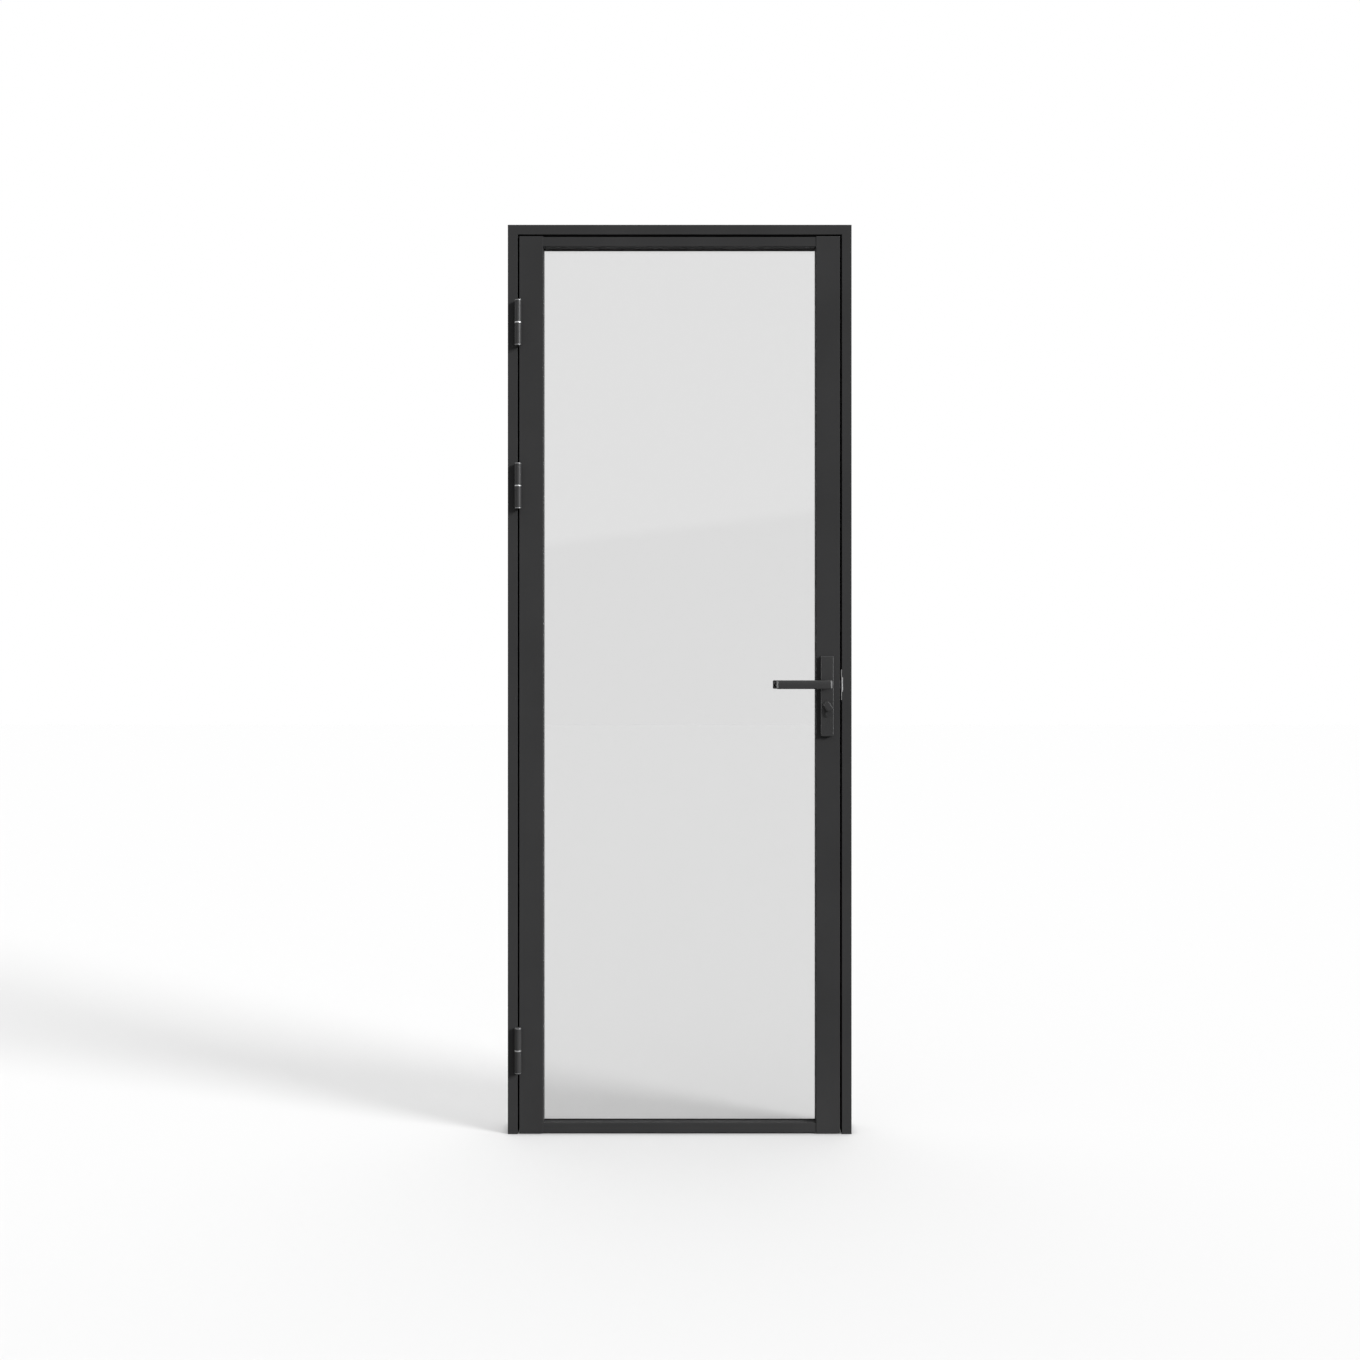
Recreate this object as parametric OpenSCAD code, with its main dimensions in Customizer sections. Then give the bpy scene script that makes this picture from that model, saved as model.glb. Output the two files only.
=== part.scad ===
// Hinged glass door in its own frame. Millimetres, +Z up.
// The viewer looks along +Y at the closed door, hinges on the left, lever on the right.
// The origin is on the floor, at half the frame's width and in the middle of the leaf's thickness.

/* [Frame] */
// Overall width of the frame
frame_w = 794; // [600:1:1300]
// Overall height of the frame
frame_h = 2100; // [1700:1:2600]
// Width of the frame seen from the front
frame_face = 22.5; // [20:0.5:40]
// How far the door stop stands in past the face
stop_w = 16; // [14:0.5:30]
// Depth of the door stop behind the leaf
stop_d = 26; // [22:0.5:60]
// Wall of every aluminium profile
wall = 1.8; // [1.4:0.1:2.2]
// Radius of the outer edges of every profile
edge_r = 0.8; // [0.4:0.1:1.2]
// Width of the groove that holds the frame seal
groove_w = 4; // [3:0.5:5]
// Depth of the groove that holds the frame seal
groove_d = 4.5; // [3.5:0.5:6]
// Length of each arm of the corner cleats
cleat_arm = 70; // [40:1:120]

/* [Gaps around the leaf] */
// Gap between the hinge jamb and the leaf
hinge_gap = 4; // [3.5:0.1:8]
// Gap between the leaf and the lock jamb
lock_gap = 4.5; // [4.2:0.1:8]
// Gap between the leaf and the head
head_gap = 4.2; // [3:0.1:8]
// Gap between the leaf and the floor
floor_gap = 2.5; // [2:0.1:12]
// Gap between the back of the leaf and the door stop
seal_gap = 4; // [3:0.1:6]

/* [Leaf] */
// Thickness of the leaf
leaf_t = 50; // [46:1:70]
// Width of the stiles' main hollow
stile_box = 43; // [38:1:70]
// Height of the rails' main hollow
rail_box = 10; // [8:0.5:60]
// How far the rails lie back from the face of the stiles
rail_recess = 1; // [0.5:0.1:2]
// Thickness of the plastic caps on the ends of the stiles
end_cap_t = 1.2; // [0.8:0.1:3]
// Core diameter of the screws that join stile and rail
rail_screw_d = 4; // [3:0.1:5]
// Length of the screws that join stile and rail
rail_screw_len = 28; // [20:1:60]

/* [Glazing] */
// Thickness of the glass
glass_t = 8; // [6:0.5:12]
// Distance from the face of the stiles to the glass
glass_setback = 24; // [18:0.5:28]
// Width of the lip in front of the edge of the glass
lip_w = 12; // [10:0.5:20]
// How far the glass runs in behind the lip
glass_cover = 8; // [6:0.5:9.5]
// Thickness of the front gasket
front_gasket_t = 4; // [3:0.5:6]
// Thickness of the rear gasket
rear_gasket_t = 3; // [2:0.5:5]
// How far the gaskets show past the lip and the beads
gasket_show = 0.5; // [0.2:0.1:4]
// Wall of the glazing beads
bead_wall = 1.4; // [1:0.1:2]
// How far the sloping face of the beads falls back from the gasket to the rear
bead_bevel = 5; // [1:0.5:6]
// Length of each setting block
block_len = 80; // [40:5:150]

/* [Hinges] */
// Distance from the top of the frame to the middle of the top hinge
hinge_top_drop = 228; // [150:1:400]
// Distance from the top hinge to the middle hinge
hinge_mid_drop = 376; // [200:1:700]
// Height of the middle of the lowest hinge
hinge_low_z = 195; // [120:1:400]
// Overall length of a hinge
hinge_len = 105; // [80:1:140]
// Diameter of the hinge barrel
barrel_d = 15.4; // [13:0.1:22]
// Diameter of the hinge pin
hinge_pin_d = 8; // [6:0.5:9]
// Height of the bright washer between the knuckles
washer_h = 3; // [2:0.5:5]
// Height of the caps on the ends of the barrel
hinge_cap_h = 2.5; // [2:0.1:5]
// Thickness of the hinge flags
flag_t = 2.5; // [2:0.1:3]
// Depth of the hinge flags behind the face of the leaf
flag_d = 30; // [24:1:44]
// Distance of the hinge screws from the edges of the flags
flag_screw_edge = 8; // [6:0.5:10]

/* [Handle] */
// Height of the lever's axis above the floor
handle_z = 1038; // [900:1:1150]
// Width of the back plates
plate_w = 29.5; // [26:0.5:40]
// Distance from the lever's axis to the top of the back plates
plate_above = 66; // [60:0.5:100]
// Distance from the lever's axis to the bottom of the back plates
plate_below = 119.5; // [110:0.5:160]
// Thickness of the back plates
plate_t = 9; // [7:0.5:14]
// Radius of the edges of the back plates
plate_edge_r = 2; // [1:0.1:3]
// Length of the lever, from its axis to its tip
lever_len = 119; // [90:1:150]
// Height of the lever's bar
lever_h = 20; // [16:0.5:26]
// Thickness of the lever's bar
lever_t = 11; // [8:0.5:16]
// Distance from the back plate to the face of the lever
lever_reach = 40; // [34:1:70]
// Width of the slanted ends of the lever's face
lever_bevel = 4.2; // [2:0.1:6]
// Diameter of the lever's neck
neck_d = 16; // [14:0.5:20]
// Width of the square spindle
spindle_w = 8; // [7:0.5:8.5]
// Diameter of the bolts through both back plates
plate_bolt_d = 5; // [4:0.5:6]

/* [Lock] */
// Distance from the lever's axis down to the cylinder's axis
lock_centres = 50; // [47:0.5:60]
// Thickness of the lock case
case_t = 16; // [14:0.5:20]
// Wall of the lock case
case_wall = 1.5; // [1:0.1:2]
// Distance from the lever's axis to the top of the lock case
case_above = 28; // [26:0.5:50]
// Distance from the lever's axis to the bottom of the lock case
case_below = 88; // [84:0.5:130]
// Width of the forend
forend_w = 22; // [20:0.5:30]
// How far the forend runs on above and below the case
forend_run = 22; // [18:0.5:40]
// Height of the latch bolt
latch_h = 22; // [16:0.5:28]
// Thickness of the latch bolt and the deadbolt
bolt_t = 12; // [10:0.5:12.5]
// How far the latch bolt stands out of the leaf
latch_out = 12; // [10:0.5:14]
// Height of the deadbolt
deadbolt_h = 27; // [20:0.5:34]
// Length of the thumb turn's grip
turn_len = 22; // [18:0.5:28]
// Width of the thumb turn's grip
turn_w = 16; // [13:0.5:18]
// How far the thumb turn stands out of the cylinder
turn_out = 13; // [10:0.5:24]
// Width of the bevel round the thumb turn's face
turn_bevel = 2; // [0.5:0.1:3]

/* [Strike] */
// Height of the strike plate
strike_h = 70; // [56:1:140]
// Depth of the strike plate
strike_d = 39; // [36:1:44]
// Thickness of the strike plate
strike_t = 1.5; // [1:0.1:1.8]
// Height of the strike's lip
strike_lip_h = 33; // [20:1:50]
// How far the lip laps onto the face of the jamb
strike_lap = 2.4; // [1:0.1:5]

/* [Wall fixing] */
// Diameter of the fixing holes through the jambs
anchor_d = 8.5; // [6:0.5:10]
// Distance of the outermost fixing holes from the ends of the jambs
anchor_end = 150; // [100:10:300]

/* [Hidden] */
$fn = 48;

// Named clearances
slip = 0.1; // between pieces that are pushed or screwed together
press = 0.02; // around a pin that is driven in
running = 0.05; // around a shaft that turns in its bore
free = 0.4; // between pieces that pass each other
eps = 1; // how far a cut runs past the piece that it cuts

// Colours
coat = "#3b3b3d";
hardware = "#333335";
steel = "#c9ccce";
zinc = "#9a9da0";
rubber = "#1b1b1c";
plastic = "#2a2a2b";
clear_glass = [0.86, 0.88, 0.88, 0.45];

// Places of the frame
front = -leaf_t / 2;
rebate_d = leaf_t + seal_gap;
frame_depth = rebate_d + stop_d;
jamb_in = frame_w / 2 - frame_face;
stop_in = jamb_in - stop_w;
web_v = rebate_d + groove_d;
groove_u = frame_face + stop_w / 2;
anchor_v = (web_v + frame_depth) / 2;
anchor_zs = [for (i = [0:3]) anchor_end + i * (frame_h - 2 * anchor_end) / 3];

// Places of the leaf
leaf_x0 = -jamb_in + hinge_gap;
leaf_x1 = jamb_in - lock_gap;
leaf_z0 = floor_gap;
leaf_z1 = frame_h - frame_face - head_gap;
stile_w = stile_box + lip_w;
rail_h = rail_box + lip_w;
lip_d = glass_setback - front_gasket_t;
stile_z0 = leaf_z0 + end_cap_t;
stile_z1 = leaf_z1 - end_cap_t;
stile_len = stile_z1 - stile_z0;
sight_x0 = leaf_x0 + stile_w;
sight_x1 = leaf_x1 - stile_w;
sight_z0 = stile_z0 + rail_h;
sight_z1 = stile_z1 - rail_h;
rail_x0 = leaf_x0 + stile_box + slip;
rail_x1 = leaf_x1 - stile_box - slip;
port_inset = 8;
port_vs = [lip_d + port_inset, leaf_t - rail_recess - port_inset];
rail_screw_zs = [stile_z0 + rail_box / 2, stile_z1 - rail_box / 2];
screw_head_r = 3.6;
screw_head_h = 3;
access_r = screw_head_r + free;

// Places of the glazing
glass_y0 = front + glass_setback;
bead_y0 = glass_y0 + glass_t + rear_gasket_t;
bead_d = leaf_t / 2 - rail_recess - bead_y0;
bead_nose = 1.5;
rib_r = 0.9;
rib_q = bead_d - 5;
bead_z0 = stile_z0 + rail_box + slip;
bead_z1 = stile_z1 - rail_box - slip;
block_t = lip_w - glass_cover;

// Places of the hinges
barrel_r = barrel_d / 2;
hinge_x = leaf_x0 - hinge_gap / 2;
hinge_y = front - barrel_r - free;
hinge_top_z = frame_h - hinge_top_drop;
hinge_mid_z = hinge_top_z - hinge_mid_drop;
hinge_zs = [hinge_low_z, hinge_mid_z, hinge_top_z];
knuckle_h = (hinge_len - washer_h) / 2 - hinge_cap_h;
lower_mid = -washer_h / 2 - knuckle_h / 2;
upper_mid = washer_h / 2 + knuckle_h / 2;
flag_screws = [
    [flag_screw_edge, flag_screw_edge - knuckle_h / 2],
    [flag_d - flag_screw_edge, 0],
    [flag_screw_edge, knuckle_h / 2 - flag_screw_edge]
];
csk_r = 4;
csk_h = 2;
screw_r = 2;
screw_len = 14;
cap_groove = 0.5;
cap_neck = 1;

// Places of the handle and the lock
hub_r = 9;
hub_free = 0.5;
backset = stile_box - wall - 2 * slip - case_wall - hub_free - hub_r;
axis_x = leaf_x1 - backset;
cylinder_z = handle_z - lock_centres;
neck_r = neck_d / 2;
plate_y = leaf_t / 2 + plate_t;
lever_face_y = plate_y + lever_reach;
socket_end = lever_face_y - lever_t;
plate_bolt_zs = [handle_z + plate_above - 12, handle_z - plate_below + 12];
case_x0 = axis_x - hub_r - hub_free - case_wall;
case_x1 = leaf_x1 - wall;
case_z0 = handle_z - case_below;
case_z1 = handle_z + case_above;
forend_z0 = case_z0 - forend_run;
forend_z1 = case_z1 + forend_run;
forend_screw_zs = [forend_z0 + 7, forend_z1 - 7];
lug_t = 3;
lug_lap = 4;
journal_r = 7;
latch_throw = latch_out - 1;
deadbolt_throw = 16;
forend_u = backset - wall;

// Profile cylinder
euro_r = 8.5;
euro_tail_r = 5;
euro_drop = 19.5;
cylinder_proud = 3;
cylinder_y = plate_y + cylinder_proud;
cam_half = 5;
cam_r = 7.6;
cam_reach = 14.5;
cam_rest = 20;
finger_w = 5;
finger_reach = 15;
finger_rest = -45;
rotor_r = 5;
turn_bore = rotor_r + running;
turn_rest = 35;
turn_corner_r = 4;

// Rectangle from the origin with true round corners
module soft_rect(w, h, r) {
    translate([r, 0])
        square([w - 2 * r, h]);
    translate([0, r])
        square([w, h - 2 * r]);
    for (x = [r, w - r], y = [r, h - r])
        translate([x, y])
            circle(r);
}

// Outline drawn in X and Z, carried along Y from y0 to y1
module along_y(y0, y1) {
    translate([0, y1, 0])
        rotate([90, 0, 0])
            linear_extrude(y1 - y0)
                children();
}

// Section drawn in X down from the top and Y, carried along X from x0 to x1 at height z
module rail_along(x0, x1, z) {
    translate([x0, 0, z])
        rotate([0, 90, 0])
            linear_extrude(x1 - x0)
                children();
}

// Round bar along X from x0 to x1
module bar_x(x0, x1, y, z, r) {
    translate([x0, y, z])
        rotate([0, 90, 0])
            cylinder(r = r, h = x1 - x0);
}

// Round bar along Y from y0 to y1
module bar_y(x, y0, y1, z, r) {
    translate([x, y1, z])
        rotate([90, 0, 0])
            cylinder(r = r, h = y1 - y0);
}

// Countersunk screw with its head's top at the origin and its shank along -Z
module csk_screw(length) {
    difference() {
        union() {
            translate([0, 0, -csk_h])
                cylinder(r1 = screw_r, r2 = csk_r - slip, h = csk_h);
            translate([0, 0, -length])
                cylinder(r = screw_r, h = length);
        }
        for (a = [0, 90])
            rotate([0, 0, a])
                translate([-2, -0.45, -1.1])
                    cube([4, 0.9, eps + 1.1]);
    }
}

// Hole for the countersunk screw, drilled depth deep
module csk_hole(depth) {
    translate([0, 0, -csk_h])
        cylinder(r1 = screw_r + slip, r2 = csk_r, h = csk_h);
    translate([0, 0, -depth])
        cylinder(r = screw_r + slip, h = depth + eps);
}

// Section of the jambs and the head: X from the outer face inwards, Y from the front to the back
module frame_section() {
    difference() {
        union() {
            soft_rect(frame_face, frame_depth, edge_r);
            translate([0, rebate_d])
                soft_rect(frame_face + stop_w, stop_d, edge_r);
        }
        translate([wall, wall])
            square([frame_face - 2 * wall, web_v - wall]);
        translate([wall, web_v + wall])
            square([frame_face + stop_w - 2 * wall, frame_depth - web_v - 2 * wall]);
        translate([groove_u - groove_w / 2, rebate_d - eps])
            square([groove_w, groove_d + eps]);
    }
}

// Section of the frame seal: a stem in the groove and a hollow bulb towards the leaf
module seal_section() {
    bulb_r = seal_gap - free;
    difference() {
        union() {
            translate([groove_u - groove_w / 2 + slip, rebate_d - eps])
                square([groove_w - 2 * slip, groove_d + eps - slip]);
            intersection() {
                translate([groove_u, rebate_d])
                    circle(bulb_r);
                translate([groove_u - bulb_r, rebate_d - bulb_r])
                    square([2 * bulb_r, bulb_r]);
            }
        }
        translate([groove_u, rebate_d - bulb_r / 2])
            circle(bulb_r / 3);
    }
}

// Wedge that holds the head and cuts the jambs at the mitres
module mitre_wedge() {
    m = frame_face + stop_w + eps;
    half = frame_w / 2;
    along_y(front - eps, front + frame_depth + eps)
        polygon([
            [-half - eps, frame_h + eps], [half + eps, frame_h + eps],
            [half - m, frame_h - m], [-half + m, frame_h - m]
        ]);
}

module jamb_length() {
    translate([-frame_w / 2, front, 0])
        linear_extrude(frame_h)
            children();
}

module anchor_holes() {
    for (z = anchor_zs)
        bar_x(-frame_w / 2 - eps, -stop_in + eps, front + anchor_v, z, anchor_d / 2);
}

module hinge_jamb() {
    color(coat)
        difference() {
            jamb_length()
                frame_section();
            mitre_wedge();
            anchor_holes();
            for (z = hinge_zs, s = flag_screws)
                bar_x(-jamb_in - screw_len, -jamb_in + eps, front + s[0], z + lower_mid + s[1],
                    screw_r + slip);
        }
}

module lock_jamb() {
    color(coat)
        difference() {
            mirror([1, 0, 0])
                jamb_length()
                    frame_section();
            mitre_wedge();
            mirror([1, 0, 0])
                anchor_holes();
            bolt_pockets(jamb_in - eps, jamb_in + 2 * wall, eps);
            strike_screw_holes();
        }
}

module head() {
    color(coat)
        intersection() {
            rail_along(-frame_w / 2 - eps, frame_w / 2 + eps, frame_h)
                translate([0, front])
                    frame_section();
            mitre_wedge();
        }
}

// Openings for the latch bolt and the deadbolt, from x0 to x1, room wider on each side
module bolt_pockets(x0, x1, room) {
    for (b = [[handle_z, latch_h], [cylinder_z, deadbolt_h]])
        translate([x0, -bolt_t / 2 - room, b[0] - b[1] / 2 - room])
            cube([x1 - x0, bolt_t + 2 * room, b[1] + 2 * room]);
}

module corner_cleat() {
    y0 = front + wall + slip;
    depth = web_v - wall - 2 * slip;
    thick = frame_face - 2 * wall - 2 * slip;
    x0 = -frame_w / 2 + wall + slip;
    z1 = frame_h - wall - slip;
    translate([x0, y0, z1 - cleat_arm])
        cube([thick, depth, cleat_arm]);
    translate([x0, y0, z1 - thick])
        cube([cleat_arm, depth, thick]);
}

module corner_cleats() {
    color(zinc) {
        corner_cleat();
        mirror([1, 0, 0])
            corner_cleat();
    }
}

module frame_seal() {
    color(rubber) {
        for (side = [0, 1])
            mirror([side, 0, 0])
                difference() {
                    translate([0, 0, floor_gap])
                        jamb_length()
                            seal_section();
                    mitre_wedge();
                    translate([-frame_w, front, frame_h])
                        cube([2 * frame_w, frame_depth, frame_h]);
                }
        intersection() {
            rail_along(-frame_w / 2, frame_w / 2, frame_h)
                translate([0, front])
                    seal_section();
            mitre_wedge();
        }
    }
}

function strike_screw_zs() = [handle_z - strike_h / 2 + 9, handle_z + strike_h / 2 - 9];

module strike_plate() {
    x0 = jamb_in - strike_t;
    color(steel)
        difference() {
            union() {
                translate([x0, front, handle_z - strike_h / 2])
                    cube([strike_t, strike_d, strike_h]);
                translate([x0, front - strike_t, handle_z - strike_lip_h / 2])
                    linear_extrude(strike_lip_h)
                        strike_lip();
            }
            bolt_pockets(x0 - eps, jamb_in + eps, eps);
            strike_screw_holes();
        }
}

// Countersunk holes through the strike plate and the jamb's wall
module strike_screw_holes() {
    for (z = strike_screw_zs())
        translate([jamb_in - strike_t, 0, z])
            rotate([0, -90, 0])
                csk_hole(screw_len);
}

// Lip of the strike, bent round the jamb's front edge
module strike_lip() {
    bend_r = 0.9 * strike_t;
    difference() {
        soft_rect(strike_t + strike_lap, 4 * strike_t, bend_r);
        translate([strike_t, strike_t])
            square([strike_lap + eps, 4 * strike_t]);
    }
}

module strike_screws() {
    color(steel)
        for (z = strike_screw_zs())
            translate([jamb_in - strike_t, 0, z])
                rotate([0, -90, 0])
                    csk_screw(screw_len);
}

// Knuckle with its flag: from z0 up, the flag from flag_x to flag_x + flag_t
module hinge_flag(z0, flag_x, bore) {
    difference() {
        union() {
            translate([hinge_x, hinge_y, z0])
                cylinder(r = barrel_r, h = knuckle_h);
            translate([flag_x, hinge_y, z0])
                cube([flag_t, front + flag_d - hinge_y, knuckle_h]);
        }
        translate([hinge_x, hinge_y, z0 - eps])
            cylinder(d = hinge_pin_d + 2 * bore, h = knuckle_h + 2 * eps);
        children();
    }
}

module hinge_frame_flag(zc) {
    color(hardware)
        hinge_flag(zc - washer_h / 2 - knuckle_h, -jamb_in, press)
            for (s = flag_screws)
                translate([-jamb_in + flag_t, front + s[0], zc + lower_mid + s[1]])
                    rotate([0, 90, 0])
                        csk_hole(screw_len);
}

module hinge_leaf_flag(zc) {
    color(hardware)
        hinge_flag(zc + washer_h / 2 + slip, leaf_x0 - flag_t, running)
            for (s = flag_screws)
                translate([leaf_x0 - flag_t, front + s[0], zc + upper_mid + s[1]])
                    rotate([0, -90, 0])
                        csk_hole(screw_len);
}

module hinge_pin(zc) {
    color(steel)
        translate([hinge_x, hinge_y, zc - washer_h / 2 - knuckle_h])
            cylinder(d = hinge_pin_d, h = 2 * knuckle_h + washer_h - free);
}

module hinge_washer(zc) {
    bore_r = hinge_pin_d / 2 + slip;
    color(steel)
        translate([hinge_x, hinge_y, zc - washer_h / 2])
            rotate_extrude()
                translate([bore_r, 0])
                    soft_rect(barrel_r - bore_r, washer_h, edge_r / 2);
}

// Cap with a fine groove under its rim, its seat at the origin and its crown along -Z
module hinge_cap() {
    rim_h = hinge_cap_h - cap_groove;
    rotate_extrude()
        union() {
            translate([0, -hinge_cap_h])
                square([barrel_r - cap_neck, hinge_cap_h]);
            translate([0, -hinge_cap_h + cap_neck])
                square([barrel_r, rim_h - cap_neck]);
            translate([barrel_r - cap_neck, -hinge_cap_h + cap_neck])
                circle(cap_neck);
        }
}

module hinge_bottom_caps() {
    color(steel)
        for (z = hinge_zs)
            translate([hinge_x, hinge_y, z - washer_h / 2 - knuckle_h])
                hinge_cap();
}

module hinge_top_caps() {
    color(steel)
        for (z = hinge_zs)
            translate([hinge_x, hinge_y, z + washer_h / 2 + slip + knuckle_h])
                mirror([0, 0, 1])
                    hinge_cap();
}

module hinge_frame_screws() {
    color(steel)
        for (z = hinge_zs, s = flag_screws)
            translate([-jamb_in + flag_t, front + s[0], z + lower_mid + s[1]])
                rotate([0, 90, 0])
                    csk_screw(screw_len);
}

module hinge_leaf_screws() {
    color(steel)
        for (z = hinge_zs, s = flag_screws)
            translate([leaf_x0 - flag_t, front + s[0], z + upper_mid + s[1]])
                rotate([0, -90, 0])
                    csk_screw(screw_len);
}

// Outline of the stiles: X from the leaf's edge to the glass, Y from the front to the back
module stile_outline() {
    soft_rect(stile_w, lip_d, edge_r);
    soft_rect(stile_box, leaf_t, edge_r);
}

module stile_section() {
    difference() {
        stile_outline();
        translate([wall, wall])
            square([stile_box - 2 * wall, leaf_t - 2 * wall]);
        translate([stile_box, wall])
            square([lip_w - wall, lip_d - 2 * wall]);
    }
}

// One stile from the leaf's edge at X = 0, with its rib for the bead and its holes for the rail screws
module stile() {
    difference() {
        union() {
            translate([0, front, stile_z0])
                linear_extrude(stile_len)
                    stile_section();
            translate([stile_box, bead_y0 + rib_q, sight_z0])
                cylinder(r = rib_r, h = sight_z1 - sight_z0);
        }
        for (z = rail_screw_zs, v = port_vs) {
            bar_x(-eps, wall + eps, front + v, z, access_r);
            bar_x(stile_box - wall - eps, stile_box + eps, front + v, z, rail_screw_d / 2 + slip);
        }
    }
}

module hinge_stile() {
    color(coat)
        difference() {
            translate([leaf_x0, 0, 0])
                stile();
            for (z = hinge_zs, s = flag_screws)
                bar_x(leaf_x0 - eps, leaf_x0 + wall + eps, front + s[0], z + upper_mid + s[1],
                    screw_r + slip);
        }
}

module lock_stile() {
    color(coat)
        difference() {
            translate([leaf_x1, 0, 0])
                mirror([1, 0, 0])
                    stile();
            translate([case_x1 - eps, -forend_w / 2 - slip, forend_z0 - slip])
                cube([wall + 2 * eps, forend_w + 2 * slip, forend_z1 - forend_z0 + 2 * slip]);
            bar_y(axis_x, -leaf_t, leaf_t, handle_z, journal_r);
            translate([axis_x, 0, cylinder_z])
                along_y(-leaf_t, leaf_t)
                    euro_profile(free);
            for (z = plate_bolt_zs)
                bar_y(axis_x, -leaf_t, leaf_t, z, plate_bolt_d / 2 + free);
        }
}

// Section of the rails: X from the leaf's edge to the glass, Y from the front to the back
module rail_section() {
    difference() {
        translate([0, rail_recess]) {
            soft_rect(rail_h, lip_d - rail_recess, edge_r);
            soft_rect(rail_box, leaf_t - 2 * rail_recess, edge_r);
        }
        difference() {
            translate([wall, rail_recess + wall])
                square([rail_box - 2 * wall, leaf_t - 2 * rail_recess - 2 * wall]);
            for (v = port_vs)
                translate([rail_box / 2, v])
                    circle(d = rail_box - wall);
        }
        translate([rail_box, rail_recess + wall])
            square([lip_w - wall, lip_d - rail_recess - 2 * wall]);
        for (v = port_vs)
            translate([rail_box / 2, v])
                circle(d = rail_screw_d + 2 * slip);
    }
}

// One rail with its leaf edge at Z = 0 and its glass side below, coped round the lips of the stiles
module rail() {
    difference() {
        union() {
            rail_along(rail_x0, rail_x1, 0)
                translate([0, front])
                    rail_section();
            bar_x(sight_x0, sight_x1, bead_y0 + rib_q, -rail_box, rib_r);
        }
        for (x = [[rail_x0 - eps, sight_x0 + slip], [sight_x1 - slip, rail_x1 + eps]])
            translate([x[0], front - eps, -rail_h - eps])
                cube([x[1] - x[0], lip_d + eps + slip, rail_h + 2 * eps]);
    }
}

module top_rail() {
    color(coat)
        translate([0, 0, stile_z1])
            rail();
}

module bottom_rail() {
    color(coat)
        translate([0, 0, stile_z0])
            mirror([0, 0, 1])
                rail();
}

module glass_pane() {
    x0 = sight_x0 - glass_cover;
    z0 = sight_z0 - glass_cover;
    color(clear_glass)
        translate([x0, glass_y0, z0])
            cube([sight_x1 + glass_cover - x0, glass_t, sight_z1 + glass_cover - z0]);
}

// Ring round the edge of the glass from y0 to y1, standing show past the sight line
module glazing_ring(y0, y1, show) {
    w = sight_x1 - sight_x0;
    h = sight_z1 - sight_z0;
    translate([sight_x0, 0, sight_z0])
        along_y(y0, y1)
            difference() {
                translate([-glass_cover, -glass_cover])
                    square([w + 2 * glass_cover, h + 2 * glass_cover]);
                translate([show, show])
                    square([w - 2 * show, h - 2 * show]);
            }
}

module front_gasket() {
    lip_y = front + lip_d;
    step_y = lip_y + front_gasket_t / 2;
    color(rubber) {
        glazing_ring(lip_y, step_y, gasket_show / 2);
        glazing_ring(step_y, glass_y0, gasket_show);
    }
}

module rear_gasket() {
    glass_y1 = glass_y0 + glass_t;
    step_y = glass_y1 + rear_gasket_t / 2;
    color(rubber) {
        glazing_ring(glass_y1, step_y, gasket_show);
        glazing_ring(step_y, bead_y0, gasket_show / 2);
    }
}

// Outline of the beads from x0 to the sight line, inset by a wall: upright at the gasket, then sloping away
module bead_outline(x0, inset) {
    polygon([
        [x0, inset], [lip_w - inset, inset], [lip_w - inset, bead_nose],
        [lip_w - bead_bevel - inset, bead_d - inset], [x0, bead_d - inset]
    ]);
}

// Section of the beads: X from the rebate's wall to the sight line, Y from the gasket to the back
module bead_section() {
    difference() {
        intersection() {
            soft_rect(lip_w, bead_d, edge_r);
            bead_outline(0, 0);
        }
        bead_outline(rib_r + bead_wall, bead_wall);
        translate([0, rib_q])
            circle(rib_r + slip);
    }
}

// Wedges below and above the glass that hold the rails' beads and cut the stiles' beads at the mitres
module bead_mitres() {
    x0 = leaf_x0 + stile_box;
    x1 = leaf_x1 - stile_box;
    m = lip_w + eps;
    for (edge = [[stile_z0 + rail_box, 1], [stile_z1 - rail_box, -1]])
        along_y(bead_y0 - eps, bead_y0 + bead_d + eps)
            polygon([
                [x0 - eps, edge[0] - edge[1] * eps], [x1 + eps, edge[0] - edge[1] * eps],
                [x1 - m, edge[0] + edge[1] * m], [x0 + m, edge[0] + edge[1] * m]
            ]);
}

module stile_bead() {
    translate([stile_box, bead_y0, bead_z0])
        linear_extrude(bead_z1 - bead_z0)
            bead_section();
}

module rail_bead(z) {
    rail_along(rail_x0, rail_x1, z)
        translate([0, bead_y0])
            bead_section();
}

module hinge_bead() {
    color(coat)
        difference() {
            translate([leaf_x0, 0, 0])
                stile_bead();
            bead_mitres();
        }
}

module lock_bead() {
    color(coat)
        difference() {
            translate([leaf_x1, 0, 0])
                mirror([1, 0, 0])
                    stile_bead();
            bead_mitres();
        }
}

module top_bead() {
    color(coat)
        intersection() {
            rail_bead(stile_z1 - rail_box);
            bead_mitres();
        }
}

module bottom_bead() {
    color(coat)
        intersection() {
            translate([0, 0, stile_z0 + rail_box])
                mirror([0, 0, 1])
                    rail_bead(0);
            bead_mitres();
        }
}

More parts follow.
